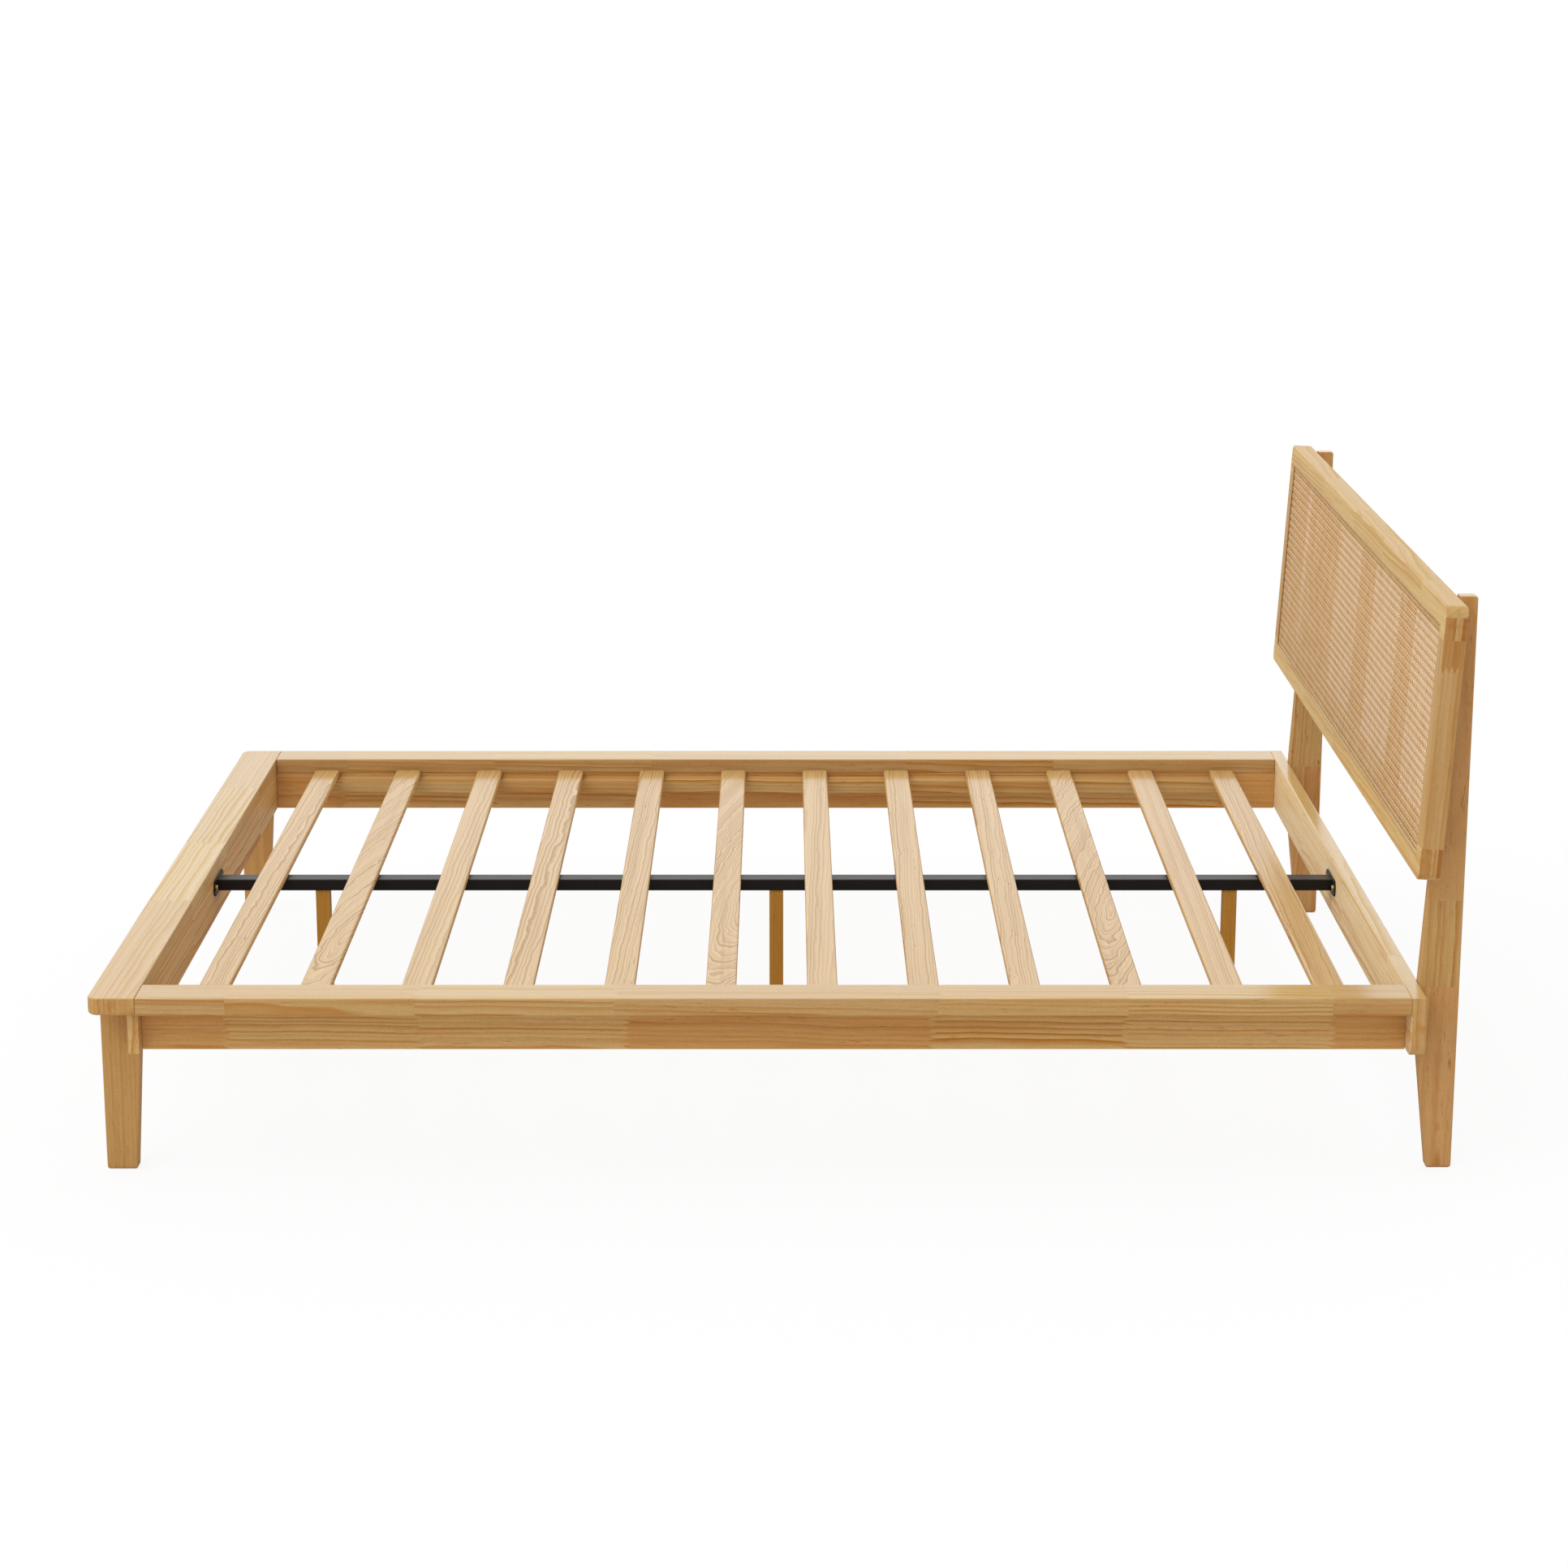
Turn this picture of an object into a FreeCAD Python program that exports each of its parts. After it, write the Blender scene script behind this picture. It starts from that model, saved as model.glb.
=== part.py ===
"""Platform bed with a cane headboard, every piece a separate solid.

Millimetres. +X runs from the foot to the head, +Z is up. The origin lies on the
floor under the middle of the bed. Left and right are as seen by someone who
stands at the foot and looks towards the head, so left is +Y.
"""
import FreeCAD, Part
import math
import os

Vec = FreeCAD.Vector

# Mattress space
mattress_length = 2032.0
mattress_width = 1524.0
length_clearance = 13.0
width_clearance = 10.0

# Side rails: a flat cap on a board that stands on edge under its inner side
rail_top = 318.0
cap_width = 77.0
cap_thickness = 29.0
cap_edge = 2.5
board_height = 73.5
board_thickness = 24.0
board_edge = 1.2

# Foot end: a wide cap, an apron under it and two tapered legs
foot_cap_width = 77.0
foot_corner = 18.0
foot_under_edge = 6.0
apron_thickness = 18.0
apron_overhang = 25.0
leg_width = 64.0
leg_foot_width = 50.0
leg_thickness = 25.0
leg_setback = 6.0
leg_edge = 2.5
foot_rounding = 6.0

# Head end: a rail on edge in front of two posts that lean from the rail up
head_rail_thickness = 24.0
head_rail_lift = 1.5
head_rail_corner = 25.0
post_depth = 66.0
post_foot_depth = 41.0
post_thickness = 25.0
post_inset = 6.0
post_edge = 2.5
post_top_rounding = 5.0
post_top_rise = 2.5
lean_degrees = 3.3

# Headboard: a framed cane panel on the leaning faces of the posts
panel_rise = 193.0
panel_height = 444.0
panel_thickness = 36.5
panel_corner = 15.0
panel_edge = 3.0
frame_face = 33.5
rail_ledge = 20.0
stile_ledge = 12.0
cane_recess = 2.0
cane_thickness = 2.4
cane_clearance = 0.3
cane_columns = 12
cane_rows = 3
cane_web = 66.0
cane_gap_corner = 15.0
bead_width = 5.0
bead_depth = 2.0
bead_edge = 0.8
batten_count = 3
batten_width = 30.0
batten_gap = 10.1

# Slats on two ledgers
slat_count = 12
slat_width = 50.0
slat_thickness = 13.5
slat_drop = 21.0
slat_end_gap = 1.5
slat_corner = 7.0
slat_edge = 4.0
first_slat = 105.0
last_slat = 111.3
ledger_depth = 36.0
ledger_height = 27.0
ledger_edge = 2.0
ledger_end_inset = 3.0

# Centre beam on three legs with levelling feet
beam_width = 36.0
beam_height = 21.0
beam_wall = 1.6
beam_corner = 2.0
flange_thickness = 3.0
flange_width = 100.0
flange_height = 30.0
flange_corner = 12.0
centre_leg_size = 25.4
centre_leg_edge = 1.0
centre_leg_foot_inset = 193.5
centre_leg_head_inset = 187.5
leveller_height = 10.0
leveller_travel = 12.0
leveller_radius = 11.0
leveller_edge = 1.5
stem_radius = 4.0
stem_length = 32.0
stem_hole_spare = 6.0

# Fasteners
dowel_radius = 4.0
dowel_length = 30.0
hole_spare = 0.5
end_dowel_seat = 12.0
bolt_radius = 3.0
bolt_head_radius = 6.5
bolt_head_height = 4.5
socket_size = 4.0
socket_depth = 2.5
counterbore_depth = 8.0
barrel_radius = 5.0
barrel_length = 14.0
barrel_setback = 35.0
bolt_past_barrel = 9.0
insert_radius = 5.0
insert_length = 16.0
insert_sink = 0.6
screw_radius = 2.0
screw_head_radius = 4.0
screw_head_height = 3.0
screw_bite = 9.0
beam_screw_radius = 2.75
beam_screw_head_radius = 5.5
beam_screw_head_height = 3.2
beam_screw_head_edge = 1.2
beam_screw_bite = 14.0
beam_screw_inset = 12.0
stud_radius = 4.0
stud_bite = 32.0
nut_radius = 7.5
nut_height = 6.5
fit_clearance = 0.1
bore_clearance = 0.25
running_clearance = 0.3
same_place = 0.01

# Where fasteners stand
rail_bolt_rise = 25.0
rail_dowel_drop = 17.0
cap_dowel_count = 6
cap_dowel_margin = 60.0
apron_dowel_count = 4
apron_dowel_margin = 216.0
leg_dowel_margin = 20.0
leg_cap_dowel_inset = 26.0
ledger_dowel_step = 2
post_bolt_margin = 23.0
stile_dowel_spread = 11.0

# Lines worked out from the sizes
well_length = mattress_length + length_clearance
well_half = (mattress_width + width_clearance) / 2
half_width = well_half + cap_width
bed_length = foot_cap_width + well_length + head_rail_thickness + post_depth
foot_x = -bed_length / 2
apron_x = foot_x + foot_cap_width
head_x = apron_x + well_length
seat_x = head_x + head_rail_thickness
back_x = seat_x + post_depth
cap_base = rail_top - cap_thickness
board_base = cap_base - board_height
head_rail_base = board_base + head_rail_lift
board_outer = well_half + board_thickness
board_middle = well_half + board_thickness / 2
apron_outer_x = apron_x - apron_thickness
apron_half = board_outer + apron_overhang
post_outer = well_half - post_inset
post_inner = post_outer - post_thickness
post_middle = post_outer - post_thickness / 2
leg_outer_x = foot_x + leg_setback
leg_middle = well_half - leg_thickness / 2
slat_top = rail_top - slat_drop
slat_base = slat_top - slat_thickness
ledger_base = slat_base - ledger_height
ledger_middle = well_half - ledger_depth / 2
slat_pitch = (well_length - first_slat - last_slat) / (slat_count - 1)
beam_base = slat_base - beam_height
beam_middle_z = slat_base - beam_height / 2
lean = math.radians(lean_degrees)
post_height = rail_top + (panel_rise + panel_height) * math.cos(lean) + post_top_rise
frame_rail = frame_face + rail_ledge
frame_stile = frame_face + stile_ledge
opening_half = half_width - frame_face
rebate_depth = cane_recess + cane_thickness
batten_thickness = panel_thickness - rebate_depth - batten_gap
dowel_bore = dowel_radius + fit_clearance
bolt_bore = bolt_radius + bore_clearance

NODES = {}
SIDES = {"left": 1, "right": -1}


def block(x0, x1, y0, y1, z0, z1):
    """A box between two corners, given in any order along Y."""
    low, high = min(y0, y1), max(y0, y1)
    return Part.makeBox(x1 - x0, high - low, z1 - z0, Vec(x0, low, z0))


def rod(radius, start, axis, length):
    """A round bar from a start point along an axis."""
    return Part.makeCylinder(radius, length, Vec(*start), Vec(*axis))


def eased(shape, radius, wanted=None):
    """The shape with the wanted edges rounded, or all of them."""
    edges = [edge for edge in shape.Edges if wanted is None or wanted(edge)]
    return shape.makeFillet(radius, edges)


def outline(points, thickness, start_y):
    """A flat board whose outline lies in the XZ plane."""
    loop = [Vec(x, start_y, z) for x, z in points]
    face = Part.Face(Part.makePolygon(loop + [loop[0]]))
    return face.extrude(Vec(0, thickness, 0))


def level(edge, axis, value):
    """True where a whole edge lies on one plane across an axis."""
    box = edge.BoundBox
    low, high = {"x": (box.XMin, box.XMax), "y": (box.YMin, box.YMax), "z": (box.ZMin, box.ZMax)}[axis]
    return abs(low - value) < same_place and abs(high - value) < same_place


def hexagon(radius, height, start, axis):
    """A six-sided bar, its corners on the radius."""
    turns = [k * math.pi / 3 for k in range(6)]
    ring = [Vec(radius * math.cos(turn), radius * math.sin(turn), 0) for turn in turns]
    bar = Part.Face(Part.makePolygon(ring + [ring[0]])).extrude(Vec(0, 0, height))
    bar.Placement = FreeCAD.Placement(Vec(*start), FreeCAD.Rotation(Vec(0, 0, 1), Vec(*axis)))
    return bar


def socket_bolt(seat, axis, length):
    """A bolt with a flat round head and a hexagon socket; the axis points along the shank."""
    back = tuple(-value for value in axis)
    head = rod(bolt_head_radius, seat, back, bolt_head_height)
    crown = [s + b * bolt_head_height for s, b in zip(seat, back)]
    socket = hexagon(socket_size / math.sqrt(3), socket_depth, crown, axis)
    return head.fuse(rod(bolt_radius, seat, axis, length)).removeSplitter().cut(socket)


def dowel(middle, axis, first_part):
    """A dowel and its two bores, with first_part of it before the joint plane."""
    start = [m - a * first_part for m, a in zip(middle, axis)]
    pin = rod(dowel_radius, start, axis, dowel_length)
    spare = [s - a * hole_spare for s, a in zip(start, axis)]
    bore = rod(dowel_bore, spare, axis, dowel_length + 2 * hole_spare)
    return pin, bore


def spread(count, low, high):
    """Evenly spaced values from low to high."""
    return [low + (high - low) * k / (count - 1) for k in range(count)]


def slat_x(index):
    """The middle of a slat along the bed."""
    return apron_x + first_slat + index * slat_pitch


def lean_x(z):
    """The posts' leaning front face at a height above the head rail."""
    return seat_x + (z - rail_top) * math.tan(lean)


def on_panel(shape):
    """A shape from the headboard's own upright frame, laid on the leaning posts."""
    up = FreeCAD.Rotation(Vec(0, 1, 0), lean_degrees)
    foot = Vec(seat_x + panel_rise * math.sin(lean), 0, rail_top + panel_rise * math.cos(lean))
    placed = shape.copy()
    placed.Placement = FreeCAD.Placement(foot, up).multiply(placed.Placement)
    return placed


def save(name, shape):
    """Keep one node, a single solid or a group of like solids."""
    NODES[name] = Part.Compound(shape) if isinstance(shape, list) else shape


# Dowels and bolts are made first, so that each piece is bored for its own
dowels = {"rail": [], "foot": [], "ledger": []}
bores = []


def join(group, middle, axis, first_part):
    """Add a dowel to a group and its bore to the list that every board is cut with."""
    pin, bore = dowel(middle, axis, first_part)
    dowels[group].append(pin)
    bores.append(bore)


half_dowel = dowel_length / 2
ledger_dowel_xs = [(slat_x(i) + slat_x(i + 1)) / 2 for i in range(0, slat_count - 1, ledger_dowel_step)]
for side in SIDES.values():
    rail_dowel_z = cap_base - rail_dowel_drop
    join("rail", (apron_x, side * board_middle, rail_dowel_z), (1, 0, 0), end_dowel_seat)
    join("rail", (head_x, side * board_middle, rail_dowel_z), (-1, 0, 0), end_dowel_seat)
    for x in spread(cap_dowel_count, apron_x + cap_dowel_margin, head_x - cap_dowel_margin):
        join("rail", (x, side * board_middle, cap_base), (0, 0, 1), half_dowel)
    for rise in (leg_dowel_margin, board_height - leg_dowel_margin):
        join("foot", (apron_outer_x, side * leg_middle, board_base + rise), (-1, 0, 0), end_dowel_seat)
    join("foot", (leg_outer_x + leg_cap_dowel_inset, side * leg_middle, cap_base), (0, 0, 1), half_dowel)
    for x in ledger_dowel_xs:
        join("ledger", (x, side * well_half, slat_base - ledger_height / 2), (0, -side, 0), half_dowel)
apron_dowel_reach = apron_half - apron_dowel_margin
for y in spread(apron_dowel_count, -apron_dowel_reach, apron_dowel_reach):
    join("foot", (apron_x - apron_thickness / 2, y, cap_base), (0, 0, 1), half_dowel)

# Bolts that draw each side rail to the apron and to the head rail
rail_bolts = []
barrel_nuts = []
rail_bolt_z = board_base + rail_bolt_rise
for side in SIDES.values():
    y = side * board_middle
    for end_x, inward, cover in ((apron_x, 1, apron_thickness), (head_x, -1, head_rail_thickness)):
        seat = (end_x - inward * cover, y, rail_bolt_z)
        reach = cover + barrel_setback + bolt_past_barrel
        nut_x = end_x + inward * barrel_setback
        nut_low = (nut_x, y, rail_bolt_z - barrel_length / 2)
        shank_start = (nut_x - barrel_radius * 2, y, rail_bolt_z)
        thread = rod(bolt_radius + fit_clearance, shank_start, (1, 0, 0), barrel_radius * 4)
        rail_bolts.append(socket_bolt(seat, (inward, 0, 0), reach))
        barrel_nuts.append(rod(barrel_radius, nut_low, (0, 0, 1), barrel_length).cut(thread))
        bores.append(rod(bolt_bore, seat, (inward, 0, 0), reach + hole_spare))
        nut_hole_top = rail_bolt_rise + barrel_length / 2 + hole_spare
        bores.append(rod(barrel_radius + fit_clearance, (nut_x, y, board_base), (0, 0, 1), nut_hole_top))

# Bolts from the backs of the posts into the head rail and the headboard
head_rail_bolts = []
headboard_bolts = []
inserts = []
post_bores = []
bolt_seat_x = back_x - counterbore_depth
low_bolt_z = rail_top + (panel_rise + frame_rail / 2) * math.cos(lean)
high_bolt_z = rail_top + (panel_rise + panel_height - frame_rail / 2) * math.cos(lean)
post_bolt_rows = [(head_rail_base + post_bolt_margin, seat_x, head_rail_bolts),
                  (rail_top - post_bolt_margin, seat_x, head_rail_bolts),
                  (low_bolt_z, lean_x(low_bolt_z) - insert_sink, headboard_bolts),
                  (high_bolt_z, lean_x(high_bolt_z) - insert_sink, headboard_bolts)]
for side in SIDES.values():
    for z, mouth_x, group in post_bolt_rows:
        seat = (bolt_seat_x, side * post_middle, z)
        mouth = (mouth_x, side * post_middle, z)
        reach = bolt_seat_x - mouth_x + insert_length - hole_spare
        ring = rod(insert_radius, mouth, (-1, 0, 0), insert_length)
        group.append(socket_bolt(seat, (-1, 0, 0), reach))
        inserts.append(ring.cut(rod(bolt_radius + fit_clearance, mouth, (-1, 0, 0), insert_length)))
        post_bores.append(rod(bolt_bore, seat, (-1, 0, 0), post_depth))
        post_bores.append(rod(bolt_head_radius + bore_clearance, seat, (1, 0, 0), counterbore_depth))
        bore_start = (mouth_x + 2 * insert_sink, side * post_middle, z)
        bore_length = insert_length + 3 * insert_sink
        bores.append(rod(insert_radius + fit_clearance, bore_start, (-1, 0, 0), bore_length))

# Side rails and the ledgers inside them
for name, side in SIDES.items():
    cap = eased(block(apron_x, head_x, side * well_half, side * half_width, cap_base, rail_top), cap_edge)
    board = block(apron_x, head_x, side * well_half, side * board_outer, board_base, cap_base)
    save("side_rail_cap_" + name, cap.cut(bores))
    save("side_rail_board_" + name, eased(board, board_edge).cut(bores))

slat_screws = []
slat_holes = []
ledger_holes = []
for side in SIDES.values():
    for index in range(slat_count):
        tip = (slat_x(index), side * ledger_middle, ledger_base)
        place = Vec(*tip)
        up = Vec(0, 0, 1)
        grip = ledger_height + screw_bite
        head = Part.makeCone(screw_head_radius, screw_radius, screw_head_height, place, up)
        sink_radius = screw_head_radius + bore_clearance
        shank_hole = screw_radius + bore_clearance
        sink = Part.makeCone(sink_radius, shank_hole, screw_head_height, place, up)
        slat_screws.append(head.fuse(rod(screw_radius, tip, (0, 0, 1), grip)).removeSplitter())
        ledger_holes.append(sink.fuse(rod(shank_hole, tip, (0, 0, 1), ledger_height)))
        slat_holes.append(rod(screw_radius + fit_clearance, tip, (0, 0, 1), grip + hole_spare))

ledger_low = slat_x(0) - slat_width / 2 + ledger_end_inset
ledger_high = slat_x(slat_count - 1) + slat_width / 2 - ledger_end_inset
for name, side in SIDES.items():
    inner = side * (well_half - ledger_depth)
    ledger = block(ledger_low, ledger_high, inner, side * well_half, ledger_base, slat_base)
    front = eased(ledger, ledger_edge, lambda edge: level(edge, "y", inner))
    save("slat_ledger_" + name, front.cut(bores + ledger_holes))

# Slats
slat_half = well_half - slat_end_gap
for index in range(slat_count):
    near_edge = slat_x(index) - slat_width / 2
    plank = block(near_edge, near_edge + slat_width, -slat_half, slat_half, slat_base, slat_top)
    upright = [edge for edge in plank.Edges if level(edge, "x", edge.BoundBox.XMin)
               and level(edge, "y", edge.BoundBox.YMin)]
    plank = plank.makeFillet(slat_corner, upright)
    plank = eased(plank, slat_edge, lambda edge: level(edge, "z", slat_base) or level(edge, "z", slat_top))
    save("slat_%02d" % (index + 1), plank.cut(slat_holes))

# Foot end
foot_cap = block(foot_x, apron_x, -half_width, half_width, cap_base, rail_top)
foot_cap = eased(foot_cap, foot_corner, lambda edge: level(edge, "x", foot_x)
                 and level(edge, "y", edge.BoundBox.YMin))
foot_cap = eased(foot_cap, foot_under_edge, lambda edge: level(edge, "z", cap_base)
                 and not level(edge, "x", apron_x))
foot_cap = eased(foot_cap, cap_edge, lambda edge: level(edge, "z", rail_top))
save("foot_cap", foot_cap.cut(bores))
apron = block(apron_outer_x, apron_x, -apron_half, apron_half, board_base, cap_base)
save("foot_apron", eased(apron, board_edge).cut(bores))
for name, side in SIDES.items():
    leg_inner_x = leg_outer_x + leg_width
    profile = [(leg_outer_x, 0), (leg_outer_x, cap_base), (apron_outer_x, cap_base),
               (apron_outer_x, board_base), (leg_inner_x, board_base), (leg_outer_x + leg_foot_width, 0)]
    leg = outline(profile, leg_thickness, min(side * well_half, side * (well_half - leg_thickness)))
    leg = eased(leg, foot_rounding, lambda edge: level(edge, "z", 0))
    upper = [cap_base, board_base]
    leg = eased(leg, leg_edge, lambda edge: level(edge, "y", edge.BoundBox.YMin)
                and not any(level(edge, "z", z) for z in upper)
                and not level(edge, "x", apron_outer_x))
    save("foot_leg_" + name, leg.cut(bores))

# Head rail and posts
head_rail = block(head_x, seat_x, -half_width, half_width, head_rail_base, rail_top)
head_rail = eased(head_rail, head_rail_corner, lambda edge: level(edge, "z", head_rail_base)
                  and level(edge, "y", edge.BoundBox.YMin))
head_rail = eased(head_rail, cap_edge, lambda edge: level(edge, "x", head_x) or level(edge, "x", seat_x))
save("head_rail", head_rail.cut(bores))
for name, side in SIDES.items():
    profile = [(back_x, 0), (back_x, post_height), (lean_x(post_height), post_height), (seat_x, rail_top),
               (seat_x, head_rail_base), (back_x - post_foot_depth, 0)]
    post = outline(profile, post_thickness, min(side * post_outer, side * post_inner))
    post = eased(post, foot_rounding, lambda edge: level(edge, "z", 0))
    post = eased(post, post_top_rounding, lambda edge: level(edge, "z", post_height)
                 and level(edge, "x", back_x))
    post = eased(post, post_edge, lambda edge: level(edge, "y", edge.BoundBox.YMin))
    save("head_post_" + name, post.cut(post_bores))

# Headboard frame, made upright with its back on x = 0 and its foot on z = 0
front_x = -panel_thickness
stile_low = frame_rail
stile_high = panel_height - frame_rail
frame_pins = []
frame_bores = []


def frame_join(x, y):
    """Dowel an upright to both headboard rails."""
    for z in (stile_low, stile_high):
        pin, bore = dowel((x, y, z), (0, 0, 1), half_dowel)
        frame_pins.append(on_panel(pin))
        frame_bores.append(bore)


for side in SIDES.values():
    for spot in (-stile_dowel_spread, stile_dowel_spread):
        frame_join(-panel_thickness / 2, side * (half_width - frame_stile / 2) + spot)
batten_ys = [opening_half * (2 * (k + 1) / (batten_count + 1) - 1) for k in range(batten_count)]
for y in batten_ys:
    frame_join(-batten_thickness / 2, y)

opening_top = panel_height - frame_face
rebate = block(front_x, front_x + rebate_depth, -opening_half, opening_half, frame_face, opening_top)
for name, seam, outer in (("bottom", stile_low, 0), ("top", stile_high, panel_height)):
    rail = block(front_x, 0, -half_width, half_width, min(seam, outer), max(seam, outer))
    rail = eased(rail, panel_corner, lambda edge: level(edge, "z", outer)
                 and level(edge, "y", edge.BoundBox.YMin))
    rail = eased(rail, panel_edge, lambda edge: (level(edge, "x", front_x) or level(edge, "x", 0))
                 and not level(edge, "z", seam))
    save("headboard_%s_rail" % name, on_panel(rail.cut(frame_bores + [rebate])).cut(bores))
for name, side in SIDES.items():
    inner = side * (half_width - frame_stile)
    stile = block(front_x, 0, inner, side * half_width, stile_low, stile_high)
    stile = eased(stile, panel_edge, lambda edge: level(edge, "y", side * half_width)
                  and level(edge, "x", edge.BoundBox.XMin))
    save("headboard_stile_" + name, on_panel(stile.cut(frame_bores + [rebate])))
for index, y in enumerate(batten_ys):
    batten = block(-batten_thickness, 0, y - batten_width / 2, y + batten_width / 2, stile_low, stile_high)
    save("headboard_batten_%d" % (index + 1), on_panel(batten.cut(frame_bores)))

# Cane sheet on the ledges of the frame, with a bead over its edges
cane_x = front_x + cane_recess
cane_half = opening_half - cane_clearance
cane_low = frame_face + cane_clearance
cane_high = opening_top - cane_clearance
cane = block(cane_x, cane_x + cane_thickness, -cane_half, cane_half, cane_low, cane_high)
column_pitch = 2 * cane_half / cane_columns
row_pitch = (cane_high - cane_low) / cane_rows


def cane_gap(column, row):
    """One eight-sided opening, for the open share of the weave in its part of the sheet."""
    y = -cane_half + (column + 0.5) * column_pitch
    z = cane_low + (row + 0.5) * row_pitch
    half_y = (column_pitch - cane_web) / 2
    half_z = (row_pitch - cane_web) / 2
    gap = block(cane_x, cane_x + cane_thickness, y - half_y, y + half_y, z - half_z, z + half_z)
    corners = [edge for edge in gap.Edges if abs(edge.Length - cane_thickness) < same_place]
    return gap.makeChamfer(cane_gap_corner, corners)


gaps = [cane_gap(column, row) for column in range(cane_columns) for row in range(cane_rows)]
save("cane_panel", on_panel(cane.cut(gaps)))
upright_low = frame_face + bead_width
upright_high = opening_top - bead_width
strips = {"top": (-opening_half, opening_half, upright_high, opening_top),
          "bottom": (-opening_half, opening_half, frame_face, upright_low),
          "left": (opening_half - bead_width, opening_half, upright_low, upright_high),
          "right": (-opening_half, bead_width - opening_half, upright_low, upright_high)}
for name, (y0, y1, z0, z1) in strips.items():
    bead = block(cane_x - bead_depth, cane_x, y0, y1, z0, z1)
    run = "y" if name in ("top", "bottom") else "z"
    bead = eased(bead, bead_edge, lambda edge: level(edge, "x", cane_x - bead_depth)
                 and not level(edge, run, edge.BoundBox.YMin if run == "y" else edge.BoundBox.ZMin))
    save("cane_bead_" + name, on_panel(bead))

# Centre beam, its end flanges and their screws
tube = block(apron_x + flange_thickness, head_x - flange_thickness, -beam_width / 2, beam_width / 2,
             beam_base, slat_base)
tube = eased(tube, beam_corner, lambda edge: edge.Length > beam_width + beam_height)
hollow = block(apron_x, head_x, -beam_width / 2 + beam_wall, beam_width / 2 - beam_wall,
               beam_base + beam_wall, slat_base - beam_wall)
leg_xs = spread(3, apron_x + centre_leg_foot_inset, head_x - centre_leg_head_inset)
stud_hole = stud_radius + bore_clearance
stud_low = beam_base - stud_bite
stud_hole_length = stud_bite + hole_spare + nut_height
stud_holes = [rod(stud_hole, (x, 0, stud_low - hole_spare), (0, 0, 1), stud_hole_length) for x in leg_xs]
save("centre_beam", tube.cut([hollow] + stud_holes))
beam_screws = []
screw_reach = flange_width / 2 - beam_screw_inset
wood_holes = []
for name, wall_x, inward in (("foot", apron_x, 1), ("head", head_x, -1)):
    x0, x1 = sorted((wall_x, wall_x + inward * flange_thickness))
    plate = block(x0, x1, -flange_width / 2, flange_width / 2, beam_middle_z - flange_height / 2,
                  beam_middle_z + flange_height / 2)
    plate = eased(plate, flange_corner, lambda edge: abs(edge.Length - flange_thickness) < same_place)
    holes = []
    for y in (-screw_reach, screw_reach):
        seat = (wall_x + inward * flange_thickness, y, beam_middle_z)
        head = rod(beam_screw_head_radius, seat, (inward, 0, 0), beam_screw_head_height)
        crown = seat[0] + inward * beam_screw_head_height
        head = eased(head, beam_screw_head_edge, lambda edge: level(edge, "x", crown))
        shank = rod(beam_screw_radius, seat, (-inward, 0, 0), flange_thickness + beam_screw_bite)
        beam_screws.append(head.fuse(shank).removeSplitter())
        holes.append(rod(beam_screw_radius + bore_clearance, seat, (-inward, 0, 0), flange_thickness))
        wood_holes.append(rod(beam_screw_radius + fit_clearance, seat, (-inward, 0, 0),
                              flange_thickness + beam_screw_bite + hole_spare))
    save("beam_flange_" + name, plate.cut(holes))
for name in ("foot_apron", "head_rail"):
    NODES[name] = NODES[name].cut(wood_holes)

# Centre legs with their studs, nuts and levelling feet, which stand screwed out to the floor
studs = []
nuts = []
stem_bore_depth = stem_length + stem_hole_spare
leg_end = leveller_height + leveller_travel
for name, x in zip(("foot", "middle", "head"), leg_xs):
    half = centre_leg_size / 2
    leg = eased(block(x - half, x + half, -half, half, leg_end, beam_base), centre_leg_edge)
    stem_bore = rod(stem_radius + running_clearance, (x, 0, leg_end), (0, 0, 1), stem_bore_depth)
    save("centre_leg_" + name, leg.cut(stud_holes + [stem_bore]))
    pad = eased(rod(leveller_radius, (x, 0, 0), (0, 0, 1), leveller_height), leveller_edge,
                lambda edge: level(edge, "z", 0))
    stem = rod(stem_radius, (x, 0, leveller_height), (0, 0, 1), stem_length)
    save("leveller_" + name, pad.fuse(stem).removeSplitter())
    floor = beam_base + beam_wall
    studs.append(rod(stud_radius, (x, 0, stud_low), (0, 0, 1), stud_bite + beam_wall + nut_height))
    nut = hexagon(nut_radius, nut_height, (x, 0, floor), (0, 0, 1))
    nuts.append(nut.cut(rod(stud_radius + fit_clearance, (x, 0, floor), (0, 0, 1), nut_height)))

# Groups of like fasteners
save("rail_dowels", dowels["rail"])
save("foot_dowels", dowels["foot"])
save("ledger_dowels", dowels["ledger"])
save("headboard_dowels", frame_pins)
save("rail_bolts", rail_bolts)
save("barrel_nuts", barrel_nuts)
save("head_rail_bolts", head_rail_bolts)
save("headboard_bolts", headboard_bolts)
save("threaded_inserts", inserts)
save("slat_screws", slat_screws)
save("beam_screws", beam_screws)
save("leg_studs", studs)
save("leg_nuts", nuts)

os.makedirs("parts", exist_ok=True)
for name, shape in NODES.items():
    shape.exportStep("parts/%s.step" % name)
print(len(NODES), "nodes,", sum(len(shape.Solids) for shape in NODES.values()), "solids")
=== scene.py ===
"""A pine platform bed with a cane headboard: the finish of every piece, the woven cane and the studio."""
import math
import random

import bmesh
import bpy
from bpy.props import FloatProperty, FloatVectorProperty, IntProperty, PointerProperty
from mathutils import Color, Matrix, Vector


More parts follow.
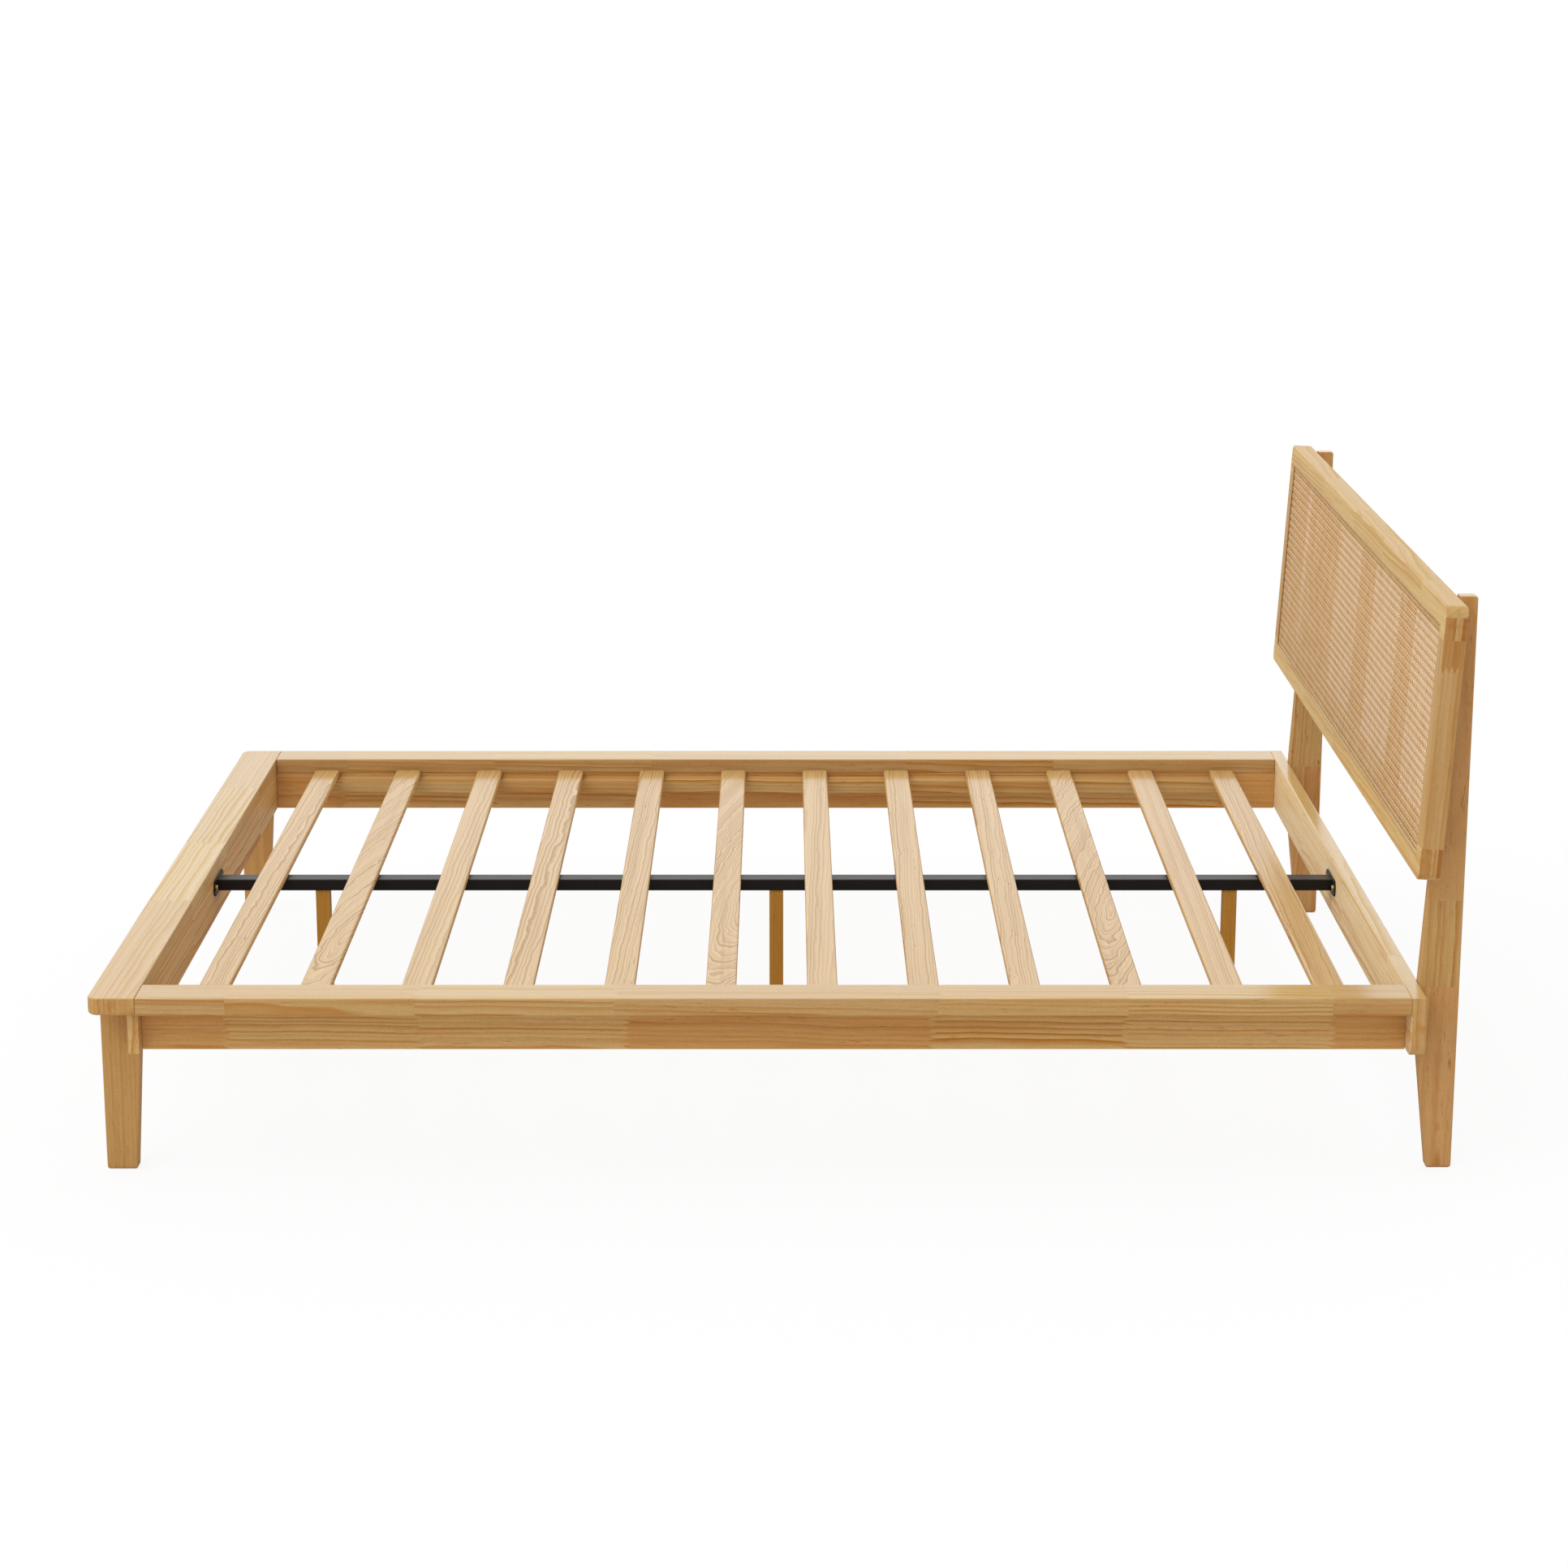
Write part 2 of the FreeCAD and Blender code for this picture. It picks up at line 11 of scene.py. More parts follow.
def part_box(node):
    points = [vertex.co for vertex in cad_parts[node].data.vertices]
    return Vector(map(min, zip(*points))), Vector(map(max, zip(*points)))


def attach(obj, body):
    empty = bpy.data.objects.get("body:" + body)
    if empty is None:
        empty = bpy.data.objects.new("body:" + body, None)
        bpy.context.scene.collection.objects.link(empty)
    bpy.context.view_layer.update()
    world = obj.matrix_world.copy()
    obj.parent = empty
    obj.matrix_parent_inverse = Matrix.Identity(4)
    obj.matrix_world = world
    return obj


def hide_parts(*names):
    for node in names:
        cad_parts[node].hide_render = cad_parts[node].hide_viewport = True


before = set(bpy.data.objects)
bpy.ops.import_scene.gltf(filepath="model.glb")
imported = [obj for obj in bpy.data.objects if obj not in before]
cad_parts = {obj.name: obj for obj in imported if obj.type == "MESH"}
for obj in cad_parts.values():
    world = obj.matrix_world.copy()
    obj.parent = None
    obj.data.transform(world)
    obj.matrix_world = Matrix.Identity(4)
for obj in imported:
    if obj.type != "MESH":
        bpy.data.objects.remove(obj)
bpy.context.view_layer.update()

bl_info = {
    "name": "Platform bed with a cane headboard",
    "version": (1, 0, 0),
    "blender": (4, 5, 0),
    "location": "View3D > Sidebar > Bed",
    "description": "Pine, cane and metal finishes of a platform bed, with its woven panel and its studio",
    "category": "Object",
}

FRAME_BODY = "bed_frame"


# Settings


def size(name, description, default):
    """A length in metres that a user may change."""
    return FloatProperty(name=name, description=description, default=default, min=0.0, precision=5,
                         unit="LENGTH")


def share(name, description, default):
    """A number from 0 to 1 that a user may change."""
    return FloatProperty(name=name, description=description, default=default, min=0.0, max=1.0,
                         subtype="FACTOR")


def brightness(name, description, default):
    """The strength of a light that a user may change."""
    return FloatProperty(name=name, description=description, default=default, min=0.0)


def angle(name, description, degrees):
    """An angle that a user may change, with its default in degrees."""
    return FloatProperty(name=name, description=description, default=math.radians(degrees),
                         subtype="ANGLE")


def colour(name, description, default):
    """A linear colour that a user may change."""
    return FloatVectorProperty(name=name, description=description, default=default, min=0.0, max=1.0,
                               size=3, subtype="COLOR")


class BED_PG_pine(bpy.types.PropertyGroup):
    """The lacquered pine."""

    early_wood: colour("Early wood", "Pale wood between the ring lines", (0.535, 0.342, 0.14))
    late_wood: colour("Late wood", "Orange wood of the ring lines", (0.395, 0.15, 0.014))
    # The top line colour is a painted light tint: the ring lines on faces that look up are yellowed for the
    # light that falls on the tops.
    lit_top_line: colour("Top line", "Yellow ring lines of the lacquered tops", (0.455, 0.25, 0.004))
    # The slat line colour is grain drawn darker and greyer as painted shade in the grooves of the ring
    # lines.
    shaded_slat_line: colour("Slat line", "Brown ring lines of the slats", (0.38, 0.20, 0.045))
    dash: colour("Resin dash", "Short dark resin marks", (0.22, 0.075, 0.012))
    slat_wood: colour("Slat wood", "Paler wood of the slats", (0.575, 0.36, 0.148))
    ring_width: size("Ring width", "Distance from one ring line to the next", 0.0075)
    slat_rings: size("Slat rings", "Distance between the ring lines of the slats", 0.0048)
    finger_pitch: size("Finger pitch", "Width of one finger in a finger joint", 0.009)
    finger_depth: size("Finger depth", "Length of the fingers in a finger joint", 0.013)
    bump_depth: size("Grain depth", "Height of the ring lines under the lacquer", 0.0003)
    lacquer: share("Lacquer", "Weight of the clear coat on faces that look up", 0.9)


class BED_PG_cane(bpy.types.PropertyGroup):
    """The woven cane."""

    # The palest and darkest strand colours also stand for a painted highlight on the rows and painted shade
    # on the uprights and diagonals.
    bark: colour("Cane", "Palest strands", (0.86, 0.64, 0.385))
    shade: colour("Cane shade", "Darkest strands", (0.56, 0.282, 0.073))
    column_pitch: size("Column pitch", "Distance from one pair of uprights to the next", 0.01315)
    row_pitch: size("Row pitch", "Distance from one pair of rows to the next", 0.0139)
    pair_gap: size("Pair gap", "Distance between the two strands of a pair", 0.0045)
    strand_width: size("Strand width", "Width of one strand", 0.0029)
    strand_thickness: size("Strand thickness", "Thickness of one strand", 0.0005)
    seed: IntProperty(name="Strand seed", description="Picks how strands differ in tone", default=5, min=0)


class BED_PG_metal(bpy.types.PropertyGroup):
    """The steel beam, the legs under it and the fasteners."""

    beam: colour("Beam", "Powder coat of the centre beam and its flanges", (0.009, 0.007, 0.006))
    leg: colour("Centre leg", "Ochre stain of the centre legs", (0.46, 0.24, 0.045))
    brass: colour("Brass", "Brass coloured screws of the beam", (0.70, 0.46, 0.16))
    zinc: colour("Zinc", "Zinc plated bolts, nuts, studs and screws", (0.60, 0.61, 0.62))
    beech: colour("Beech", "Dowels", (0.64, 0.44, 0.26))
    pad: colour("Levelling pad", "Black plastic of the levelling feet", (0.02, 0.02, 0.021))


class BED_PG_stage(bpy.types.PropertyGroup):
    """The floor, the light and the camera."""

    floor: colour("Floor", "Plain pale floor", (0.80, 0.80, 0.80))
    floor_glow: share("Floor glow", "How much of the floor is plain white to the camera", 0.88)
    floor_dimming: share("Floor dimming", "How much of the floor is dark in reflections", 0.65)
    sky_back: brightness("Sky behind", "Light from behind the bed", 1.25)
    sky_front: brightness("Sky in front", "Light from the camera's side", 0.58)
    sun: brightness("Sun", "Strength of the soft light from above", 1.4)
    sun_spread: angle("Sun spread", "Angle that the soft light fills", 55)
    lens: FloatProperty(name="Lens", description="Focal length on a 36 mm frame", default=79.994,
                        unit="CAMERA")
    camera_side: size("Camera side", "Camera's distance to the head side of the middle", 0.0106)
    camera_distance: size("Camera distance", "Camera's distance in front of the middle", 6.1598)
    camera_height: size("Camera height", "Camera's height over the floor", 2.0110)
    camera_pitch: angle("Camera pitch", "Angle that the camera looks down", 14.137)


# Node trees


def opaque(value):
    """A colour with full alpha, or any other value as it is."""
    if isinstance(value, (tuple, list, Color)):
        return (*value[:3], 1.0)
    return value


class Net:
    """A node tree that is laid out link by link."""

    def __init__(self, tree):
        self.tree = tree

    def node(self, kind, **settings):
        made = self.tree.nodes.new(kind)
        for name, value in settings.items():
            setattr(made, name, value)
        return made

    def feed(self, socket, value):
        """Link an output to the socket, or set the socket's own value."""
        if isinstance(value, bpy.types.NodeSocket):
            self.tree.links.new(value, socket)
        else:
            socket.default_value = value

    def math(self, operation, *values, clamp=False):
        made = self.node("ShaderNodeMath", operation=operation, use_clamp=clamp)
        for socket, value in zip(made.inputs, values):
            self.feed(socket, value)
        return made.outputs[0]

    def vector(self, operation, *values):
        made = self.node("ShaderNodeVectorMath", operation=operation)
        for socket, value in zip(made.inputs, values):
            self.feed(socket, value)
        return made.outputs["Value" if operation in ("LENGTH", "DOT_PRODUCT") else "Vector"]

    def split(self, vector):
        made = self.node("ShaderNodeSeparateXYZ")
        self.feed(made.inputs[0], vector)
        return made.outputs

    def join(self, x, y, z):
        made = self.node("ShaderNodeCombineXYZ")
        for socket, value in zip(made.inputs, (x, y, z)):
            self.feed(socket, value)
        return made.outputs[0]

    def remap(self, value, low, high, to_low, to_high):
        made = self.node("ShaderNodeMapRange")
        for socket, number in zip(made.inputs, (value, low, high, to_low, to_high)):
            self.feed(socket, number)
        return made.outputs[0]

    def noise(self, vector, detail=2.0):
        made = self.node("ShaderNodeTexNoise")
        self.feed(made.inputs["Vector"], vector)
        made.inputs["Scale"].default_value = 1.0
        made.inputs["Detail"].default_value = detail
        return made.outputs[0]

    def grain_noise(self, place, offset, waves, detail=2.0):
        """Noise drawn out along the grain, with so many waves per metre along and across."""
        along, across = waves
        stretched = self.vector("MULTIPLY", place, (along, across, across))
        return self.noise(self.vector("ADD", stretched, offset), detail)

    def chance(self, value):
        """The white noise of a number: a value and three more in a colour."""
        made = self.node("ShaderNodeTexWhiteNoise", noise_dimensions="1D")
        self.feed(made.inputs["W"], value)
        return made.outputs

    def ramp(self, value, stops, interpolation="LINEAR"):
        """A colour ramp with (position, colour) stops."""
        made = self.node("ShaderNodeValToRGB")
        made.color_ramp.interpolation = interpolation
        elements = made.color_ramp.elements
        while len(elements) < len(stops):
            elements.new(1.0)
        for element, (position, shade) in zip(elements, stops):
            element.position = position
            element.color = shade if len(shade) == 4 else (*shade, 1.0)
        self.feed(made.inputs[0], value)
        return made.outputs

    def mix(self, amount, first, second, blend="MIX"):
        made = self.node("ShaderNodeMix", data_type="RGBA", blend_type=blend)
        for index, value in ((0, amount), (6, first), (7, second)):
            self.feed(made.inputs[index], opaque(value))
        return made.outputs[2]

    def group(self, tree, **inputs):
        """Place a node group, with its inputs named in words joined by underscores."""
        made = self.node("ShaderNodeGroup", node_tree=tree)
        for name, value in inputs.items():
            self.feed(made.inputs[name.replace("_", " ")], opaque(value))
        return made.outputs


def new_group(name, inputs, outputs):
    """An empty shader group: its net, its input sockets by name and its output node."""
    tree = bpy.data.node_groups.new(name, "ShaderNodeTree")
    for label, kind in inputs:
        tree.interface.new_socket(label, in_out="INPUT", socket_type=kind)
    for label, kind in outputs:
        tree.interface.new_socket(label, in_out="OUTPUT", socket_type=kind)
    net = Net(tree)
    return net, net.node("NodeGroupInput").outputs, net.node("NodeGroupOutput").inputs


def new_material(name):
    """A material with one Principled shader."""
    material = bpy.data.materials.new(name)
    material.use_nodes = True
    return material, Net(material.node_tree), material.node_tree.nodes["Principled BSDF"].inputs


def wear(node, material):
    """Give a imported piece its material."""
    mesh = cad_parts[node].data
    if not mesh.materials:
        mesh.materials.append(material)
    for index in range(len(mesh.materials)):
        mesh.materials[index] = material


NUMBER = "NodeSocketFloat"
VECTOR = "NodeSocketVector"
COLOUR = "NodeSocketColor"
NOISE_RANGE = (0.3, 0.7)
FLAT_OUTPUTS = (("Colour", COLOUR), ("Roughness", NUMBER))
FINISH_OUTPUTS = (*FLAT_OUTPUTS, ("Height", NUMBER))
PINE_OUTPUTS = (*FINISH_OUTPUTS, ("Gloss", NUMBER))


def finish_group(name, inputs, draw, outputs=FINISH_OUTPUTS):
    """The shader group of a finish, drawn the first time that it is asked for."""
    if name not in bpy.data.node_groups:
        net, given, result = new_group(name, inputs, outputs)
        for label, value in draw(net, given).items():
            net.feed(result[label], value)
    return bpy.data.node_groups[name]


# Pine

PINE_INPUTS = (
    ("Place", VECTOR), ("Seed", NUMBER), ("Tint", COLOUR), ("Early Wood", COLOUR), ("Late Wood", COLOUR),
    ("Dash Colour", COLOUR), ("Ring Width", NUMBER), ("Wander", NUMBER), ("Ripple", NUMBER),
    ("Lines", NUMBER), ("Dashes", NUMBER), ("Slope", NUMBER), ("Turn", NUMBER), ("Reach", NUMBER),
    ("End", NUMBER), ("End Tint", COLOUR),
)
SEED_SHIFT = (31.0, 47.0, 59.0)
PITH_STRETCH = 91.7
PITH_SWING = 0.8
PITH_LEAST = 0.4
RING_STRETCH = 17.0
RING_TONES = (0.2, 1.2)
RING_PROFILE = (
    (0.0, (0, 0, 0)), (0.3, (0.05,) * 3), (0.74, (0.6,) * 3), (0.9, (1, 1, 1)), (1.0, (0, 0, 0)),
)
UNEVEN_RINGS = 0.012

# Waves per metre, along the grain and across it, or every way
WANDER_WAVES = (6.0, 16.0)
RIPPLE_WAVES = (24.0, 30.0)
STREAK_WAVES = (2.2, 70.0)
FIBRE_WAVES = (28.0, 850.0)
DASH_WAVES = (40.0, 420.0)
CLUSTER_WAVES = (5.0, 45.0)
UNEVEN_WAVES = 70.0
SAND_WAVES = (450.0, 450.0, 450.0)

# Stretches of noise that become marks, and how strong the marks are
STREAK_RANGE = (0.5, 0.75)
STREAK_SHARE = 0.45
DASH_RANGE = (0.66, 0.74)
CLUSTER_RANGE = (0.48, 0.6)
FIBRE_TONES = (0.92, 1.06)
SAND_TONES = (0.94, 1.06)
PINE_ROUGHNESS = (0.30, 0.42)
FIBRE_HEIGHT = 0.4
LINE_DULLNESS = 0.3


def draw_pine(net, given):
    """Pine as a solid: rings round a leaning pith, soft streaks, fibres and short resin dashes."""
    place = given["Place"]
    seed = given["Seed"]
    offset = net.vector("SCALE", SEED_SHIFT)
    net.feed(offset.node.inputs["Scale"], seed)
    turn, reach, lean = net.split(net.chance(net.math("MULTIPLY", seed, PITH_STRETCH))["Color"])
    turn = net.math("MULTIPLY_ADD", net.math("SUBTRACT", turn, 0.5), PITH_SWING, given["Turn"])
    reach = net.math("MULTIPLY", net.remap(reach, 0.0, 1.0, PITH_LEAST, 1.0), given["Reach"])
    slope = net.math("MULTIPLY", net.remap(lean, 0.0, 1.0, PITH_LEAST, 1.0), given["Slope"])
    along, across, deep = net.split(place)
    deep = net.math("MULTIPLY", deep, net.math("SUBTRACT", 1.0, given["End"]))
    drift = net.math("MULTIPLY", along, slope)
    across = net.math("MULTIPLY_ADD", net.math("COSINE", turn), reach, net.math("ADD", across, drift))
    deep = net.math("MULTIPLY_ADD", net.math("SINE", turn), reach, net.math("ADD", deep, drift))
    radius = net.vector("LENGTH", net.join(0.0, across, deep))

    wander = net.math("SUBTRACT", net.grain_noise(place, offset, WANDER_WAVES, 1.0), 0.5)
    ripple = net.math("SUBTRACT", net.grain_noise(place, offset, RIPPLE_WAVES, 1.0), 0.5)
    uneven = net.noise(net.join(net.math("MULTIPLY", radius, UNEVEN_WAVES), seed, 0.0), 1.0)
    radius = net.math("MULTIPLY_ADD", wander, given["Wander"], radius)
    radius = net.math("MULTIPLY_ADD", ripple, given["Ripple"], radius)
    radius = net.math("MULTIPLY_ADD", uneven, UNEVEN_RINGS, radius)
    ring = net.math("DIVIDE", radius, given["Ring Width"])
    profile = net.ramp(net.math("FRACT", ring), RING_PROFILE)["Color"]
    ring_tone = net.chance(net.math("MULTIPLY_ADD", seed, RING_STRETCH, net.math("FLOOR", ring)))["Value"]
    late = net.math("MULTIPLY", profile, net.remap(ring_tone, 0.0, 1.0, *RING_TONES))
    late = net.math("MULTIPLY", late, given["Lines"])

    streak = net.grain_noise(place, offset, STREAK_WAVES)
    streak = net.remap(streak, *STREAK_RANGE, 0.0, STREAK_SHARE)
    fibre = net.grain_noise(place, offset, FIBRE_WAVES, 3.0)
    sand = net.noise(net.vector("MULTIPLY", place, SAND_WAVES))
    dash = net.remap(net.grain_noise(place, offset, DASH_WAVES, 1.0), *DASH_RANGE, 0.0, 1.0)
    cluster = net.remap(net.grain_noise(place, offset, CLUSTER_WAVES, 1.0), *CLUSTER_RANGE, 0.0, 1.0)
    dash = net.math("MULTIPLY", net.math("MULTIPLY", dash, cluster), given["Dashes"])
    dull = net.math("MAXIMUM", dash, net.math("MULTIPLY", late, LINE_DULLNESS))

    tone = net.mix(late, given["Early Wood"], given["Late Wood"])
    tone = net.mix(streak, tone, given["Late Wood"])
    tone = net.mix(dash, tone, given["Dash Colour"])
    tone = net.mix(1.0, tone, net.remap(fibre, *NOISE_RANGE, *FIBRE_TONES), "MULTIPLY")
    tone = net.mix(1.0, tone, net.remap(sand, *NOISE_RANGE, *SAND_TONES), "MULTIPLY")
    tone = net.mix(1.0, tone, given["Tint"], "MULTIPLY")
    tone = net.mix(given["End"], tone, net.mix(1.0, tone, given["End Tint"], "MULTIPLY"))
    return {
        "Colour": tone,
        "Roughness": net.remap(fibre, *NOISE_RANGE, *PINE_ROUGHNESS),
        "Height": net.math("MULTIPLY_ADD", fibre, FIBRE_HEIGHT, late),
        "Gloss": net.math("SUBTRACT", 1.0, dull, clamp=True),
    }


TONES = {
    # The first two tints are painted highlights: they pale only the faces of the head rail and of the
    # headboard rails that look towards the foot.
    "lit_ivory": (1.46, 1.74, 2.40),
    "lit_blond": (1.21, 1.34, 1.38),
    "cream": (1.05, 1.09, 1.16),
    "straw": (1.00, 1.00, 1.00),
    "honey": (0.99, 0.94, 0.88),
    "tan": (0.96, 0.92, 0.92),
    "amber": (0.95, 0.84, 0.72),
    # The next tint is painted fill light: it brightens pieces that lie in shade, the side boards under the
    # caps and the apron.
    "painted_fill": (1.16, 1.13, 1.10),
    "orange": (1.10, 0.92, 0.76),
    "copper": (1.03, 0.89, 0.83),
    "russet": (0.84, 0.66, 0.50),
    "rust": (0.68, 0.44, 0.26),
}
FIGURE = {
    "lit_ivory": 0.6, "lit_blond": 0.6, "cream": 0.9, "straw": 1.0, "honey": 0.85, "tan": 0.8, "amber": 0.5,
    "painted_fill": 1.0, "orange": 0.5, "copper": 0.8, "russet": 0.8,
}
ENDS = {
    "plain": ((0.0, "honey"),),
    "pale": ((0.0, "cream"),),
    "banded": ((0.0, "rust"), (0.22, "tan"), (0.5, "russet")),
}
LOOK_SETTINGS = ("Lines", "Dashes", "Wander", "Ripple", "Slope", "Turn", "Reach")
LOOKS = {
    "lined": (1.1, 0.5, 0.007, 0.001, 0.012, 0.8, 0.12),
    "capped": (0.85, 0.4, 0.006, 0.001, 0.012, 0.4, 0.12),
    "quiet": (0.7, 0.3, 0.007, 0.001, 0.010, 0.8, 0.10),
    "fine": (0.6, 0.4, 0.005, 0.002, 0.010, 0.6, 0.12),
    "dashed": (0.8, 0.7, 0.008, 0.003, 0.020, 0.5, 0.10),
    "rippled": (1.0, 0.2, 0.008, 0.010, 0.15, 0.4, 0.10),
}
GRAIN = {
    "X": Matrix.Identity(3),
    "Y": Matrix.Rotation(math.radians(90), 3, "Z"),
    "Z": Matrix.Rotation(math.radians(-90), 3, "Y"),
}
AXIS = {"X": 0, "Y": 1, "Z": 2}
NODE_STEP = 0.618
SEED_STEP = 0.381
COAT_ROUGHNESS = 0.16
COAT_TINT = (0.98, 1.0, 0.95, 1.0)
TOP_LINES = 1.7
WOOD_SPECULAR = 0.08
WOOD_BUMP = 0.25
FACING_RANGE = (0.6, 0.9)
SHARP = 0.0005


def seed_of(node):
    """A number from 0 to 1 that is the node's own."""
    return sorted(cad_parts).index(node) * NODE_STEP % 1.0


def stave_ramps(net, place, half, fingers, staves, seed, settings):
    """Each stave's tint, seed and strength of figure, with its ends cut into fingers."""
    parts = net.split(place)
    tooth = net.math("PINGPONG", parts[AXIS[fingers]], settings.finger_pitch / 2)
    slant = 2 * settings.finger_depth / settings.finger_pitch
    along = net.math("MULTIPLY_ADD", tooth, slant, parts[0])
    key = net.remap(along, -half, half, 0.0, 1.0)
    tints = []
    figures = []
    for index, (start, tone) in enumerate(staves):
        tints.append((start, (*TONES[tone], (seed + index * SEED_STEP) % 1.0)))
        figures.append((start, (FIGURE[tone],) * 3))
    return net.ramp(key, tints, "CONSTANT"), net.ramp(key, figures, "CONSTANT")["Color"]


def dress_pine(node, settings, grain, look, joints=(), tones=("honey",), fingers="Y", early=None,
               line=None, rings=None, lean=0.0, end="plain", end_drop=None, flank=None, gloss=1.0):
    """Pine on one board. Joints are places along the board in the frame; tones go from stave to stave.

    The ends' tint starts end_drop below the board's top. With a flank, the staves' tints show on that
    side alone.
    """
    low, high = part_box(node)
    centre = (low + high) / 2
    turn = Matrix.Rotation(lean, 3, "Y") @ GRAIN[grain]
    direction = turn @ Vector((1, 0, 0))
    half = abs((high - low).dot(direction)) / 2
    seed = seed_of(node)
    figure = dict(zip(LOOK_SETTINGS, LOOKS[look]))

    material, net, shader = new_material(f"pine {node}")
    coordinates = net.node("ShaderNodeTexCoord").outputs
    mapping = net.node("ShaderNodeMapping", vector_type="TEXTURE")
    mapping.inputs["Location"].default_value = centre
    mapping.inputs["Rotation"].default_value = turn.to_euler()
    net.feed(mapping.inputs["Vector"], coordinates["Object"])
    place = mapping.outputs[0]
    parts = net.split(place)

    def facing(way, operation="ABSOLUTE"):
        """A mask of the faces that look the given way, or either way along it."""
        along = net.vector("DOT_PRODUCT", coordinates["Normal"], way)
        return net.remap(net.math(operation, along, 1.0), *FACING_RANGE, 0.0, 1.0)

    on_end = facing(direction)
    on_top = facing(Vector((0, 0, 1)), "MULTIPLY")
    if end_drop is not None:
        edge = (high - low).z / 2 - end_drop
        under = net.remap(parts[2], edge - SHARP, edge + SHARP, 1.0, 0.0)
        on_end = net.math("MULTIPLY", on_end, under)
    thick = abs((high - low).dot(turn @ Vector((0, 1, 0)))) / 2
    bands = [(start, TONES[tone]) for start, tone in ENDS[end]]
    end_tint = net.ramp(net.remap(parts[1], -thick, thick, 0.0, 1.0), bands, "CONSTANT")["Color"]

    starts = [0.0] + [(joint - centre[AXIS[grain]] + half) / (2 * half) for joint in joints]
    tint, strength = stave_ramps(net, place, half, fingers, list(zip(starts, tones)), seed, settings)
    strength = net.math("MULTIPLY", strength, net.remap(on_top, 0.0, 1.0, 1.0, TOP_LINES))
    figure["Lines"] = net.math("MULTIPLY", strength, figure["Lines"])
    stave_tint = tint["Color"]
    # With a flank the stave tints show on one side alone: on the head rail and the headboard rails this is
    # a painted highlight on the faces towards the foot; on the stiles it is their own stave colour.
    if flank is not None:
        stave_tint = net.mix(facing(flank, "MULTIPLY"), TONES["straw"], stave_tint)
    # On faces that look up the late wood takes the top line colour, a painted light tint of the tops,
    # unless a piece brings its own line colour.
    pine = net.group(
        finish_group("solid pine", PINE_INPUTS, draw_pine, PINE_OUTPUTS), Place=place,
        Seed=tint["Alpha"], Tint=stave_tint,
        Early_Wood=early or settings.early_wood, Dash_Colour=settings.dash,
        Late_Wood=net.mix(on_top, settings.late_wood, line or settings.lit_top_line),
        Ring_Width=rings or settings.ring_width, End=on_end, End_Tint=end_tint, **figure,
    )
    bump = net.node("ShaderNodeBump")
    bump.inputs["Strength"].default_value = WOOD_BUMP
    bump.inputs["Distance"].default_value = settings.bump_depth
    net.feed(bump.inputs["Height"], pine["Height"])
    net.feed(shader["Base Color"], pine["Colour"])
    net.feed(shader["Roughness"], pine["Roughness"])
    net.feed(shader["Normal"], bump.outputs[0])
    shader["Specular IOR Level"].default_value = WOOD_SPECULAR
    lacquer = net.math("MULTIPLY", on_top, settings.lacquer * gloss)
    net.feed(shader["Coat Weight"], net.math("MULTIPLY", pine["Gloss"], lacquer))
    shader["Coat Roughness"].default_value = COAT_ROUGHNESS
    shader["Coat Tint"].default_value = COAT_TINT
    wear(node, material)


# Plain finishes

MOTTLE_INPUTS = (
    ("Place", VECTOR), ("Colour", COLOUR), ("Uneven", NUMBER), ("Gloss", NUMBER), ("Grit", NUMBER),
)
MOTTLE_WAVES = (40.0, 40.0, 40.0)
GRIT_ROUGHNESS = 0.25
GRIT_BUMP = 0.3
GRIT_DEPTH = 0.0001


def draw_mottle(net, given):
    """A coat or plating with slow changes of tone and a fine grit."""
    slow = net.noise(net.vector("MULTIPLY", given["Place"], MOTTLE_WAVES))
    grit = net.vector("SCALE", given["Place"])
    net.feed(grit.node.inputs["Scale"], given["Grit"])
    grit = net.noise(grit, 3.0)
    change = net.math("MULTIPLY", net.math("SUBTRACT", slow, 0.5), given["Uneven"])
    tone = net.mix(1.0, given["Colour"], net.math("ADD", change, 1.0), "MULTIPLY")
    rough = net.math("MULTIPLY_ADD", net.math("SUBTRACT", grit, 0.5), GRIT_ROUGHNESS, given["Gloss"])
    return {"Colour": tone, "Roughness": rough, "Height": grit}


def mottled_material(name, shade, uneven, gloss, grit, metallic=0.0, specular=0.5):
    """A material for painted, plated and moulded pieces."""
    material, net, shader = new_material(name)
    place = net.node("ShaderNodeTexCoord").outputs["Object"]
    mottle = finish_group("mottled coat", MOTTLE_INPUTS, draw_mottle)
    coat = net.group(mottle, Place=place, Colour=shade, Uneven=uneven, Gloss=gloss, Grit=grit)
    bump = net.node("ShaderNodeBump")
    bump.inputs["Strength"].default_value = GRIT_BUMP
    bump.inputs["Distance"].default_value = GRIT_DEPTH
    net.feed(bump.inputs["Height"], coat["Height"])
    net.feed(shader["Base Color"], coat["Colour"])
    net.feed(shader["Roughness"], coat["Roughness"])
    net.feed(shader["Normal"], bump.outputs[0])
    shader["Metallic"].default_value = metallic
    shader["Specular IOR Level"].default_value = specular
    return material


# The bed's pieces

RAIL_JOINTS = (-0.893, -0.580, -0.246, 0.253, 0.566, 0.901)
# Most staves of the side boards take the painted fill tint, for the shade under the caps.
RAIL_TONES = ("orange", "painted_fill", "painted_fill", "orange", "painted_fill", "painted_fill", "orange")
LEDGER_TONES = ("honey", "straw", "amber", "straw", "honey", "straw", "amber")
CAP_JOINTS = (-0.880, -0.580, -0.262, 0.264, 0.567, 0.890)
CAP_TONES = ("tan", "honey", "straw", "tan", "honey", "straw", "tan")


